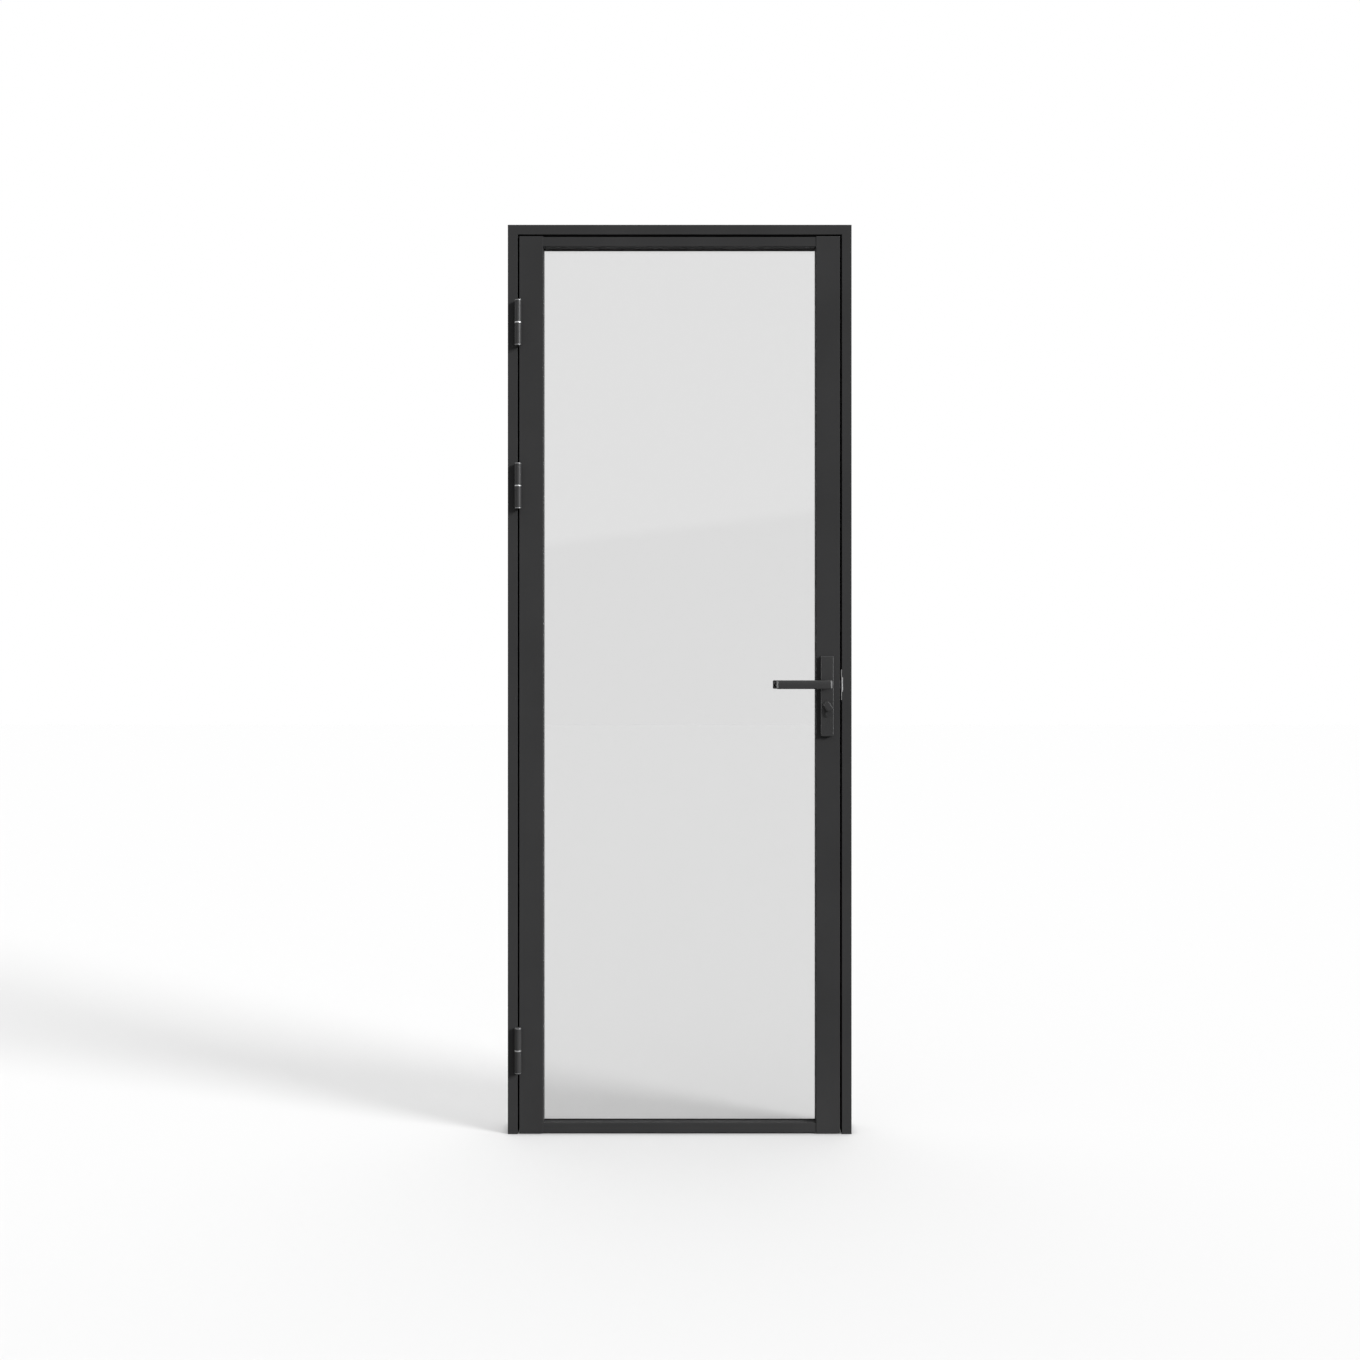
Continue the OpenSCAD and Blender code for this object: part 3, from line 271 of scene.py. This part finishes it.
# Hinges
# Three barrel hinges: a coated knuckle with its flag on the jamb, another on the leaf, and a steel pin
# between them. A bright turned washer shows at the middle, and bright grooved caps close both ends.
FLAG_TONE = (0.034, 0.034, 0.0345, 1)
FLAG_MATT = 0.4
FLAG_SPECULAR = 0.2
FLAG_GRAINS_PER_M = 2200.0
FLAG_BUMP = (0.08, 0.0002)
TURNED_ROUND = (40.0, 40.0, 6000.0)
TURNED_BUMP = (0.2, 0.0001)
WASHER_TONE = (0.52, 0.523, 0.527, 1)
WASHER_POLISH = 0.47
CAP_TONE = (0.27, 0.272, 0.275, 1)
CAP_POLISH = 0.5

flag_coat = finish_material(
    "flag_coat", powder_coat, {"Tone": FLAG_TONE, "Matt": FLAG_MATT, "Grains": FLAG_GRAINS_PER_M},
    FLAG_BUMP, {"Specular IOR Level": FLAG_SPECULAR})
turned_steel = finish_material(
    "turned_steel", brushed_lines, {"Tone": WASHER_TONE, "Across": TURNED_ROUND, "Polish": WASHER_POLISH},
    TURNED_BUMP, {"Metallic": 1.0})
cap_steel = finish_material(
    "cap_steel", brushed_lines, {"Tone": CAP_TONE, "Across": TURNED_ROUND, "Polish": CAP_POLISH},
    TURNED_BUMP, {"Metallic": 1.0})
for hinge in ("low", "mid", "top"):
    dress(flag_coat, f"{hinge}_hinge_frame_flag", f"{hinge}_hinge_leaf_flag")
    dress(turned_steel, f"{hinge}_hinge_washer", f"{hinge}_hinge_pin")
dress(cap_steel, "hinge_bottom_caps", "hinge_top_caps")
dress(zinc_plate, "hinge_frame_screws", "hinge_leaf_screws")


# Stiles, rails and beads
# Hollow aluminium profiles in the frame's coat. The rails butt against the stiles and are screwed through
# them, a millimetre behind their faces. The beads snap in behind the glass.
dress(frame_coat, "hinge_stile", "lock_stile", "top_rail", "bottom_rail")
dress(frame_coat, "hinge_bead", "lock_bead", "top_bead", "bottom_bead")
dress(zinc_plate, "rail_screws")


# Glass pane
# One sheet of 8 mm toughened float glass, its sharp edges taken off on a belt before toughening.
# It is clear with a pale grey cast, very slightly wavy, and has the faint smears of a wiped pane.
GLASS_TONE = (0.742, 0.742, 0.742, 1)
GLASS_IOR = 1.5
ROLLER_WAVES_PER_M = 2.5
ROLLER_BUMP = (0.05, 0.002)
SMEARS_PER_M = 9.0
SMEAR_PATCHES = (0.55, 0.8)
SMEAR_MATT = (0.0, 0.04)
ARRIS = 0.0012
PANE_CREASE = 20


def door_loops(low, high, inset, depth):
    """Rectangles around the opening: loop i runs through four corners, inset i inside the X and Z limits,
    at Y = depth i. Returns an array of loops by corners by coordinates."""
    inset, depth = np.asarray(inset, float)[:, None], np.asarray(depth, float)[:, None]
    side_x, side_z = np.array([0, 1, 1, 0]), np.array([0, 0, 1, 1])
    x = np.where(side_x, high[0] - inset, low[0] + inset)
    z = np.where(side_z, high[2] - inset, low[2] + inset)
    return np.stack([x, np.broadcast_to(depth, x.shape), z], axis=-1)


def skin(loops, ring):
    """Quads between neighbouring loops of an array. With ring the last loop meets the first, and without
    it the first and last loops are closed by a face each. Returns points, quads and end faces."""
    count, around = loops.shape[:2]
    index = np.arange(count * around).reshape(count, around)
    near, far = (index, np.roll(index, -1, axis=0)) if ring else (index[:-1], index[1:])
    quads = np.stack([near, np.roll(near, -1, axis=1), np.roll(far, -1, axis=1), far], axis=-1)
    ends = index[:0] if ring else np.stack([index[0][::-1], index[-1]])
    return loops.reshape(-1, 3), quads.reshape(-1, 4), ends


def put_in_scene(name, data):
    """Object with this data at the origin, linked to the scene."""
    made = bpy.data.objects.new(name, data)
    bpy.context.scene.collection.objects.link(made)
    return made


def make_piece(name, shells, material, crease):
    """Mesh object from one or more shells of points, quads and end faces. It faces outwards,
    and its edges are sharp above the crease angle in degrees."""
    mesh = bpy.data.meshes.new(name)
    points, faces, start = [], [], 0
    for shell_points, quads, ends in shells:
        points.append(shell_points)
        faces += (quads + start).tolist() + (ends + start).tolist()
        start += len(shell_points)
    mesh.from_pydata(np.concatenate(points), [], faces)
    work = bmesh.new()
    work.from_mesh(mesh)
    bmesh.ops.recalc_face_normals(work, faces=work.faces)
    work.to_mesh(mesh)
    work.free()
    mesh.shade_smooth()
    mesh.set_sharp_from_angle(angle=np.radians(crease))
    mesh.materials.append(material)
    return put_in_scene(name, mesh)


def glass_material():
    """Clear glass: plain transmission, a slow roller wave in its normal, faint smears in its roughness."""
    material = bpy.data.materials.new("float_glass")
    material.use_nodes = True
    tree = material.node_tree
    place = add_node(tree, "ShaderNodeTexCoord", {}).outputs["Object"]
    wave = noise(tree, place, ROLLER_WAVES_PER_M, 1.0)
    smear = noise(tree, place, SMEARS_PER_M, 5.0)
    relief = add_node(tree, "ShaderNodeBump", {
        "Height": wave, "Strength": ROLLER_BUMP[0], "Distance": ROLLER_BUMP[1]})
    feed(tree, tree.nodes["Principled BSDF"].inputs, {
        "Roughness": remap(tree, smear, SMEAR_PATCHES, SMEAR_MATT), "Normal": relief.outputs["Normal"],
        "Base Color": GLASS_TONE, "Transmission Weight": 1.0, "IOR": GLASS_IOR})
    return material


pane_low, pane_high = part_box("glass_pane")
pane_loops = door_loops(
    pane_low, pane_high, [ARRIS, 0, 0, ARRIS],
    [pane_low.y, pane_low.y + ARRIS, pane_high.y - ARRIS, pane_high.y])
pane = make_piece("pane", [skin(pane_loops, ring=False)], glass_material(), PANE_CREASE)
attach(pane, "leaf")
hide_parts("glass_pane")


# Glazing gaskets
# Two extruded rubber wedges, run round the pane and mitred at its corners. The front one lies between lip
# and glass, the rear one is pushed in behind the bead. Each shows a narrow rounded nose.
NOSE = 0.0005
NOSE_POINTS = 12
WEDGE_CREASE = 35

front_low, front_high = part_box("front_gasket")
rear_low, rear_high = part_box("rear_gasket")
lip_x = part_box("hinge_stile")[1].x
under_lip = lip_x - front_low.x


def wedge_profile(lip_y, glass_y):
    """Cross-section of a gasket: a quarter ellipse from the lip's edge out to the glass, a flat foot on the
    glass, and a straight back under the lip. Returns insets from the gasket's outer edge and depths."""
    turn = np.linspace(0, np.pi / 2, NOSE_POINTS)
    inset = under_lip + NOSE * np.sin(turn)
    depth = lip_y + (glass_y - lip_y) * (1 - np.cos(turn))
    return np.concatenate([inset, [0, 0]]), np.concatenate([depth, [glass_y, lip_y]])


for name, low, high, lip_y, glass_y in (
        ("front_gasket", front_low, front_high, front_low.y, front_high.y),
        ("rear_gasket", rear_low, rear_high, rear_high.y, rear_low.y)):
    loops = door_loops(low, high, *wedge_profile(lip_y, glass_y))
    wedge = make_piece(f"{name}_wedge", [skin(loops, ring=True)], seal_rubber, WEDGE_CREASE)
    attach(wedge, "leaf")
    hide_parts(name)


# Setting blocks, end caps and bottom seal
# Moulded plastic blocks carry the glass, moulded caps close the stiles' ends, and a finned rubber strip
# under the bottom rail brushes close over the floor.
PLASTIC_TONE = (0.02, 0.02, 0.021, 1)
PLASTIC_MATT = 0.58
PLASTIC_SPECULAR = 0.4
PLASTIC_GRAINS_PER_M = 900.0
PLASTIC_BUMP = (0.2, 0.0002)

moulded_plastic = finish_material(
    "moulded_plastic", powder_coat,
    {"Tone": PLASTIC_TONE, "Matt": PLASTIC_MATT, "Grains": PLASTIC_GRAINS_PER_M},
    PLASTIC_BUMP, {"Specular IOR Level": PLASTIC_SPECULAR})
dress(moulded_plastic, "setting_blocks", "stile_end_caps")
dress(seal_rubber, "bottom_seal")


# Mortise lock
# A zinc-plated steel case in the lock stile behind a brushed forend, with a latch bolt and a deadbolt.
# The profile cylinder has a keyed plug on the far side. Its body has the smooth black coat of the handles.
HANDLE_TONE = (0.0228, 0.0228, 0.0232, 1)
HANDLE_MATT = 0.3
HANDLE_SPECULAR = 0.5
HANDLE_GRAINS_PER_M = 2600.0
HANDLE_BUMP = (0.06, 0.0002)

handle_coat = finish_material(
    "handle_coat", powder_coat,
    {"Tone": HANDLE_TONE, "Matt": HANDLE_MATT, "Grains": HANDLE_GRAINS_PER_M},
    HANDLE_BUMP, {"Specular IOR Level": HANDLE_SPECULAR})
dress(strike_steel, "lock_forend", "key_plug")
dress(zinc_plate, "lock_case", "lock_lugs", "forend_screws", "cylinder_screw")
dress(zinc_plate, "latch_bolt", "deadbolt", "follower", "cylinder_cam")
dress(handle_coat, "lock_cylinder")


# Back plates
# Two narrow die-cast plates, one on each face of the lock stile, bolted to each other through it.
# They have the handles' smooth black coat, and their rounded rims catch the light.
dress(handle_coat, "front_plate", "rear_plate")
dress(zinc_plate, "plate_bolts")
handle_set = [nodes["front_plate"], nodes["rear_plate"]]


# Levers
# Two straight die-cast bars on round necks that flare into them, held on a square spindle by grub screws.
# The ends of each bar's face are slanted back, and all its edges are softened by the casting.
LEVER_T = 0.011
BEVEL = 0.0042
BEVEL_SLOPE = 0.7
BEVEL_SOFT = 0.0005
CORNER_R = 0.0022
CORNER_LOOPS = 8
SLANT_LOOPS = 8
EDGE_R = 0.0024
EDGE_MOST = 0.9
ARC_POINTS = 6
NECK_R = 0.008
NECK_SIDES = 40
NECK_SINK = 0.0005
STRAIGHT_UP_TO = 0.006
FLARE_OUT = 0.0018
FLARE_LENGTH = 0.003
FLARE_POINTS = 8
CAST_CREASE = 40


def soft_step(distance, reach, soft):
    """How far a slanted end falls back: reach minus distance where that is positive,
    with its foot rounded off over the soft length."""
    fall = reach - distance
    return (fall + np.sqrt(fall * fall + soft * soft)) / 2


def round_loops(half_a, half_b, radius):
    """Rounded rectangles, one for each pair of half sizes: four quarter circles joined by straight sides.
    Returns two arrays of loops by points."""
    quarter = np.linspace(0, np.pi / 2, ARC_POINTS)
    angle = (quarter + np.arange(4)[:, None] * np.pi / 2).ravel()
    sign_a = np.repeat([1, -1, -1, 1], ARC_POINTS)
    sign_b = np.repeat([1, 1, -1, -1], ARC_POINTS)
    a = sign_a * (half_a[:, None] - radius[:, None]) + radius[:, None] * np.cos(angle)
    b = sign_b * (half_b[:, None] - radius[:, None]) + radius[:, None] * np.sin(angle)
    return a, b


def lever_bar(tip_x, heel_x, face_y, back_y, mid_z, half_h):
    """The bar as rounded rectangles along X. Near each end the face falls back along the slant,
    and the height draws in along a quarter circle, so the end's corners are round."""
    corner = CORNER_R * (1 - np.cos(np.linspace(0, np.pi / 2, CORNER_LOOPS)))
    slant = np.linspace(CORNER_R, BEVEL + 4 * BEVEL_SOFT, SLANT_LOOPS + 1)[1:]
    near = np.concatenate([corner, slant])
    x = np.concatenate([tip_x + near, heel_x - near[::-1]])
    distance = np.minimum(x - tip_x, heel_x - x)
    turn_in = CORNER_R - np.sqrt(np.maximum(CORNER_R**2 - np.maximum(CORNER_R - distance, 0) ** 2, 0))
    into = np.sign(back_y - face_y)
    front = face_y + into * BEVEL_SLOPE * soft_step(distance, BEVEL, BEVEL_SOFT)
    half_y = abs(back_y - front) / 2
    half_z = half_h - turn_in
    a, b = round_loops(half_y, half_z, np.minimum(EDGE_R, half_y * EDGE_MOST))
    y = (front + back_y)[:, None] / 2 + a
    return np.stack([np.broadcast_to(x[:, None], y.shape), y, mid_z + b], axis=-1)


def turned(axis_x, axis_z, radius, depth, sides):
    """Turned piece about an axis along Y: circles of each radius at each depth."""
    angle = np.linspace(0, 2 * np.pi, sides, endpoint=False)
    x = axis_x + np.asarray(radius)[:, None] * np.cos(angle)
    z = axis_z + np.asarray(radius)[:, None] * np.sin(angle)
    return np.stack([x, np.broadcast_to(np.asarray(depth)[:, None], x.shape), z], axis=-1)


dress(zinc_plate, "spindle", "lever_grub_screws")
spindle_low, spindle_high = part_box("spindle")
axis_x, axis_z = (spindle_low.x + spindle_high.x) / 2, (spindle_low.z + spindle_high.z) / 2
flare = np.linspace(0, np.pi / 2, FLARE_POINTS)
for name, outward in (("front_lever", -1), ("rear_lever", 1)):
    low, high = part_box(name)
    face_y, neck_y = (low.y, high.y) if outward < 0 else (high.y, low.y)
    back_y = face_y - outward * LEVER_T
    bar = lever_bar(low.x, high.x, face_y, back_y, axis_z, (high.z - low.z) / 2)
    flare_r = NECK_R + FLARE_OUT * (1 - np.cos(flare))
    flare_y = back_y - outward * FLARE_LENGTH * (1 - np.sin(flare)) + outward * NECK_SINK
    neck_rs = np.concatenate([[NECK_R, NECK_R], flare_r])
    neck_ys = np.concatenate([[neck_y, back_y - outward * STRAIGHT_UP_TO], flare_y])
    neck = turned(axis_x, axis_z, neck_rs, neck_ys, NECK_SIDES)
    shells = [skin(bar, ring=False), skin(neck, ring=False)]
    lever = make_piece(f"{name}_bar", shells, handle_coat, CAST_CREASE)
    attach(lever, "lever")
    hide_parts(name)
    handle_set.append(lever)


# Thumb turn
# A small oblong grip on the near side of the cylinder, on a shaft that reaches the cam. It is die cast
# and coated like the levers, with a soft bevel round its face. At rest it leans to the left.
TURN_HALF_W = 0.008
TURN_HALF_L = 0.011
TURN_OUT = 0.013
TURN_BEVEL = 0.002
TURN_SOFT = 0.0005
TURN_LOOPS = 8
TURN_CORNER_R = 0.004
TURN_LEAN = np.radians(35)
SHAFT_R = 0.005
SHAFT_SIDES = 32

turn_low, turn_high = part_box("thumb_turn")
turn_x, turn_z = (turn_low.x + turn_high.x) / 2, (turn_low.z + turn_high.z) / 2
fall = np.append(np.linspace(0, TURN_BEVEL + 3 * TURN_SOFT, TURN_LOOPS), TURN_OUT)
inset = np.minimum(soft_step(fall, TURN_BEVEL, TURN_SOFT), TURN_BEVEL)
a, b = round_loops(TURN_HALF_W - inset, TURN_HALF_L - inset, TURN_CORNER_R - inset / 2)
grip = np.stack([
    turn_x + a * np.cos(TURN_LEAN) - b * np.sin(TURN_LEAN),
    np.broadcast_to((turn_low.y + fall)[:, None], a.shape),
    turn_z + a * np.sin(TURN_LEAN) + b * np.cos(TURN_LEAN)], axis=-1)
shaft_ys = [turn_low.y + TURN_OUT / 2, turn_high.y]
shaft = turned(turn_x, turn_z, [SHAFT_R, SHAFT_R], shaft_ys, SHAFT_SIDES)
shells = [skin(grip, ring=False), skin(shaft, ring=False)]
turn = make_piece("thumb_turn_grip", shells, handle_coat, CAST_CREASE)
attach(turn, "turn")
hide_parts("thumb_turn")
handle_set.append(turn)


# Floor, light and camera
# Plain pale floor before white, soft light from above and behind, and a broad distant lamp at the upper
# right. A dim panel behind the viewer shows in the glass, and two narrow strips light the handle set alone.
WHITE = (1, 1, 1, 1)
FLOOR_HALF = 30.0
FLOOR_PALE = (0.366, 0.366, 0.366, 1)
FLOOR_GLOW = 0.36
FLOOR_BOUNCE = (0.22, 0.22, 0.22, 1)
# Reach and samples of the painted shade that dims the floor's glow in narrow gaps.
PAINTED_SHADE_REACH = 0.02
PAINTED_SHADE_SAMPLES = 8
ROOM_FILL = 0.05
OVERHEAD_FILL = 1.2
REAR_FILL = 1.3
DARK_END = 0.06
DARK_END_BAND = (-0.8, -0.2)
PANEL_GLOW = 0.9
PANEL_EDGE = 0.106
PANEL_EDGE_SOFT = 0.004
PANEL_SLOPE = 0.123
PANEL_NEAREST = 0.05
KEY_TRAVEL = Vector((-2.0, 1.1, -1.0))
KEY_STRENGTH = 4.7
KEY_ANGLE = 0.34
STRIPS_AT = {"left_strip": (-2.94, -1.46, 1.05), "right_strip": (3.66, -0.9, 1.05)}
STRIP_SIZE = (0.3, 1.4)
STRIP_POWER = 26.0
CAMERA_AT = (0.0007, -3.325, 1.0487)
CAMERA_LENS = 37.83
CAMERA_SENSOR = 36

floor_mesh = bpy.data.meshes.new("floor")
floor_mesh.from_pydata(
    [(-FLOOR_HALF, -FLOOR_HALF, 0), (FLOOR_HALF, -FLOOR_HALF, 0), (FLOOR_HALF, FLOOR_HALF, 0),
     (-FLOOR_HALF, FLOOR_HALF, 0)], [], [(0, 1, 2, 3)])
floor = put_in_scene("floor", floor_mesh)


def seen_plainly(tree):
    """Value 1 for rays from the camera, off a glossy surface or through glass, 0 for light that bounces."""
    path = add_node(tree, "ShaderNodeLightPath", {}).outputs
    either = combine(tree, "MAXIMUM", path["Is Camera Ray"], path["Is Glossy Ray"])
    return combine(tree, "MAXIMUM", either, path["Is Transmission Ray"])


def seen_mirrored(tree):
    """Value 1 for rays mirrored by a surface, and 0 for rays through glass and all others."""
    path = add_node(tree, "ShaderNodeLightPath", {}).outputs
    feeds = {0: path["Is Glossy Ray"], 1: path["Is Transmission Ray"]}
    return add_node(tree, "ShaderNodeMath", feeds, operation="SUBTRACT", use_clamp=True).outputs[0]


floor_paint = bpy.data.materials.new("floor_paint")
floor_paint.use_nodes = True
tree = floor_paint.node_tree
tree.nodes.remove(tree.nodes["Principled BSDF"])
paint = add_node(tree, "ShaderNodeBsdfDiffuse", {"Color": FLOOR_PALE})
# Painted shade: ambient occlusion dims the floor's glow in narrow gaps near the door, such as under the leaf.
painted_gap_shade = add_node(tree, "ShaderNodeAmbientOcclusion", {"Distance": PAINTED_SHADE_REACH}, samples=PAINTED_SHADE_SAMPLES)
strength = combine(tree, "MULTIPLY", painted_gap_shade.outputs["AO"], FLOOR_GLOW)
glow = add_node(tree, "ShaderNodeEmission", {"Color": WHITE, "Strength": strength})
pale = add_node(tree, "ShaderNodeAddShader", {0: paint.outputs[0], 1: glow.outputs[0]})
bounce = add_node(tree, "ShaderNodeBsdfDiffuse", {"Color": FLOOR_BOUNCE})
facing = combine(tree, "SUBTRACT", seen_plainly(tree), seen_mirrored(tree))
shown = add_node(tree, "ShaderNodeMixShader", {0: facing, 1: bounce.outputs[0], 2: pale.outputs[0]})
feed(tree, tree.nodes["Material Output"].inputs, {"Surface": shown.outputs[0]})
floor_mesh.materials.append(floor_paint)

world = bpy.data.worlds.new("white_room")
bpy.context.scene.world = world
world.use_nodes = True
tree = world.node_tree
direction = add_node(tree, "ShaderNodeTexCoord", {}).outputs["Generated"]
way = add_node(tree, "ShaderNodeSeparateXYZ", {0: direction}).outputs
dark_end = remap(tree, way["Y"], DARK_END_BAND, (DARK_END, 1.0))
towards = combine(tree, "MAXIMUM", combine(tree, "MULTIPLY", way["Y"], -1.0), PANEL_NEAREST)
tilted = combine(tree, "SUBTRACT", way["Z"], combine(tree, "MULTIPLY", way["X"], PANEL_SLOPE))
rise = combine(tree, "DIVIDE", tilted, towards)
edge_band = (PANEL_EDGE - PANEL_EDGE_SOFT, PANEL_EDGE + PANEL_EDGE_SOFT)
panel = remap(tree, rise, edge_band, (0.0, PANEL_GLOW))
mirrored = combine(tree, "MAXIMUM", dark_end, panel)
level = add_node(tree, "ShaderNodeMix", {"Factor": seen_mirrored(tree), "A": 1.0, "B": mirrored})
above = remap(tree, way["Z"], (0.0, 1.0), (ROOM_FILL, ROOM_FILL + OVERHEAD_FILL))
behind = remap(tree, way["Y"], (0.0, 1.0), (0.0, REAR_FILL))
soft_light = combine(tree, "ADD", above, behind)
fill = add_node(tree, "ShaderNodeBackground", {"Color": WHITE, "Strength": soft_light})
white = add_node(tree, "ShaderNodeBackground", {"Color": WHITE, "Strength": level.outputs["Result"]})
room = add_node(tree, "ShaderNodeMixShader", {0: seen_plainly(tree), 1: fill.outputs[0], 2: white.outputs[0]})
feed(tree, tree.nodes["World Output"].inputs, {"Surface": room.outputs[0]})

key = put_in_scene("key_lamp", bpy.data.lights.new("key_lamp", "SUN"))
key.data.energy = KEY_STRENGTH
key.data.angle = KEY_ANGLE
key.rotation_euler = KEY_TRAVEL.to_track_quat("-Z", "Y").to_euler()

strip_lit = bpy.data.collections.new("strip_lit")
for piece in handle_set:
    strip_lit.objects.link(piece)
for name, place in STRIPS_AT.items():
    strip = put_in_scene(name, bpy.data.lights.new(name, "AREA"))
    strip.data.shape = "RECTANGLE"
    strip.data.size, strip.data.size_y = STRIP_SIZE
    strip.data.energy = STRIP_POWER
    strip.location = place
    strip.rotation_euler = (Vector((axis_x, 0, axis_z)) - Vector(place)).to_track_quat("-Z", "Y").to_euler()
    strip.visible_camera = False
    strip.light_linking.receiver_collection = strip_lit

camera = put_in_scene("camera", bpy.data.cameras.new("camera"))
camera.data.lens = CAMERA_LENS
camera.data.sensor_width = CAMERA_SENSOR
camera.location = CAMERA_AT
camera.rotation_euler = (np.pi / 2, 0, 0)
bpy.context.scene.camera = camera
bpy.context.scene.view_settings.view_transform = "Standard"
